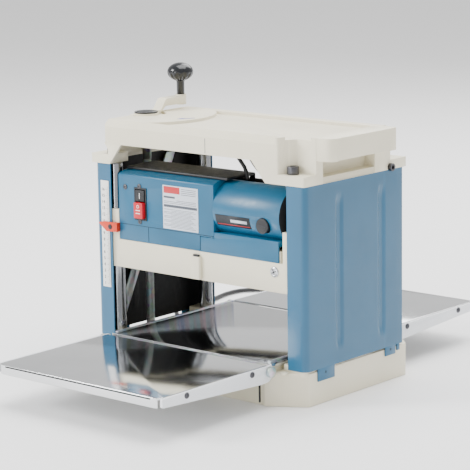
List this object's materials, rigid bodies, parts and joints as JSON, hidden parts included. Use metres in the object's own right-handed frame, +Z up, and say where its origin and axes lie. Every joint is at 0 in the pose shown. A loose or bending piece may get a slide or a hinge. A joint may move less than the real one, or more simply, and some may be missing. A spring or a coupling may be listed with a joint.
{
  "type": "thickness planer",
  "caption": "Benchtop thickness planer with a crank-raised cutter head on four columns, folding infeed and outfeed tables, side covers, a carrying frame and a mains lead.",
  "frame": {"origin": "centre of the base's underside, on the bench", "axes": "+Z up, +Y along the feed from infeed to outfeed, +X to the right of someone feeding timber at the front"},
  "size_m": [0.6292, 0.8571, 0.4723],
  "materials": {
    "cream_paint": "satin",
    "blue_paint": "satin",
    "blue_plastic": "satin",
    "black_plastic": "matte",
    "knob_plastic": "gloss",
    "polished_steel": "polished",
    "machined_steel": "satin",
    "zinc_plate": "satin",
    "white_arm": "satin",
    "scale_white": "satin",
    "orange_plastic": "satin",
    "red_plastic": "satin",
    "bronze": "satin",
    "laminated_iron": "satin",
    "rubber": "matte"
  },
  "bodies": {
    "root": {"base": "cream_paint", "main_table": "polished_steel", "left_table_rail": "zinc_plate", "right_table_rail": "zinc_plate", "front_hinge_rod": "zinc_plate", "rear_hinge_rod": "zinc_plate", "front_left_column": "polished_steel", "front_right_column": "polished_steel", "rear_left_column": "polished_steel", "rear_right_column": "polished_steel", "front_left_frame_bolt": "machined_steel", "front_right_frame_bolt": "machined_steel", "rear_left_frame_bolt": "machined_steel", "rear_right_frame_bolt": "machined_steel", "left_side_cover": "blue_paint", "right_side_cover": "blue_paint", "left_brace": "zinc_plate", "right_brace": "zinc_plate", "thickness_scale": "scale_white", "top_frame": "cream_paint", "height_chain": "machined_steel", "cord_gland": "rubber", "power_cord": "rubber", "cord_coil": "rubber", "mains_plug": "rubber"},
    "front_table": {"front_table_plate": "polished_steel", "front_table_left_arm": "white_arm", "front_table_right_arm": "white_arm"},
    "rear_table": {"rear_table_plate": "polished_steel", "rear_table_left_arm": "white_arm", "rear_table_right_arm": "white_arm"},
    "crank": {"crank_arm": "cream_paint", "crank_cap": "black_plastic", "left_lead_screw": "zinc_plate"},
    "crank_grip": {"crank_knob": "knob_plastic"},
    "right_screw": {"right_lead_screw": "zinc_plate"},
    "head": {"head_frame": "cream_paint", "switch_box": "blue_plastic", "motor_housing": "blue_plastic", "chip_cover": "black_plastic", "chip_hood": "black_plastic", "left_lead_nut": "bronze", "right_lead_nut": "bronze", "left_drum_bearing": "machined_steel", "right_drum_bearing": "machined_steel", "thickness_pointer": "orange_plastic", "depth_gauge_cover": "cream_paint", "brush_cap": "black_plastic", "motor_stator": "laminated_iron", "drive_belt": "rubber", "head_lead": "rubber"},
    "gauge": {"depth_gauge": "black_plastic"},
    "on_switch": {"on_button": "black_plastic"},
    "off_switch": {"off_button": "red_plastic"},
    "motor_rotor": {"motor_armature": "machined_steel"},
    "drum": {"cutter_drum": "polished_steel", "planer_knife_1": "polished_steel", "planer_knife_2": "polished_steel"},
    "infeed": {"infeed_roller": "rubber"},
    "outfeed": {"outfeed_roller": "rubber"}
  },
  "joints": [
    {"name": "crank_turn", "type": "hinge", "parent": "root", "child": "crank", "pos_m": [-0.181, -0.032, 0.397], "axis": [0, 0, 1], "range_deg": [-17640, 9720]},
    {"name": "head_lift", "type": "slide", "parent": "root", "child": "head", "axis": [0, 0, 1], "range_m": [-0.0981, 0.0541], "deforming": ["head_lead"]},
    {"name": "right_screw_turn", "type": "hinge", "parent": "root", "child": "right_screw", "pos_m": [0.181, -0.032, 0.2], "axis": [0, 0, 1], "range_deg": [-17650, 9730]},
    {"name": "grip_spin", "type": "hinge", "parent": "crank", "child": "crank_grip", "pos_m": [-0.181, 0.0505, 0.44], "axis": [0, 0, 1], "continuous": true},
    {"name": "front_table_fold", "type": "hinge", "parent": "root", "child": "front_table", "pos_m": [0, -0.152, 0.056], "axis": [-1, 0, 0], "range_deg": [0, 90]},
    {"name": "rear_table_fold", "type": "hinge", "parent": "root", "child": "rear_table", "pos_m": [0, 0.152, 0.056], "axis": [1, 0, 0], "range_deg": [0, 90]},
    {"name": "drum_spin", "type": "hinge", "parent": "head", "child": "drum", "pos_m": [0, 0, 0.192], "axis": [1, 0, 0], "continuous": true},
    {"name": "motor_spin", "type": "hinge", "parent": "head", "child": "motor_rotor", "pos_m": [0, -0.077, 0.277], "axis": [1, 0, 0], "continuous": true},
    {"name": "infeed_spin", "type": "hinge", "parent": "head", "child": "infeed", "pos_m": [0, -0.058, 0.18], "axis": [1, 0, 0], "continuous": true},
    {"name": "outfeed_spin", "type": "hinge", "parent": "head", "child": "outfeed", "pos_m": [0, 0.058, 0.18], "axis": [1, 0, 0], "continuous": true},
    {"name": "on_press", "type": "slide", "parent": "head", "child": "on_switch", "axis": [0, 1, 0], "range_m": [0, 0.0025], "stiffness_N_per_m": 500},
    {"name": "off_press", "type": "slide", "parent": "head", "child": "off_switch", "axis": [0, 1, 0], "range_m": [0, 0.003], "stiffness_N_per_m": 500},
    {"name": "gauge_rise", "type": "slide", "parent": "head", "child": "gauge", "axis": [0, 0, 1], "range_m": [0, 0.003]}
  ],
  "couplings": [
    {"joint": "head_lift", "follows": "crank_turn", "m_per_rad": 0.00031831},
    {"joint": "right_screw_turn", "follows": "crank_turn", "ratio": 1},
    {"joint": "motor_spin", "follows": "drum_spin", "ratio": 1.3846},
    {"joint": "infeed_spin", "follows": "drum_spin", "ratio": -0.01},
    {"joint": "outfeed_spin", "follows": "drum_spin", "ratio": -0.01}
  ]
}
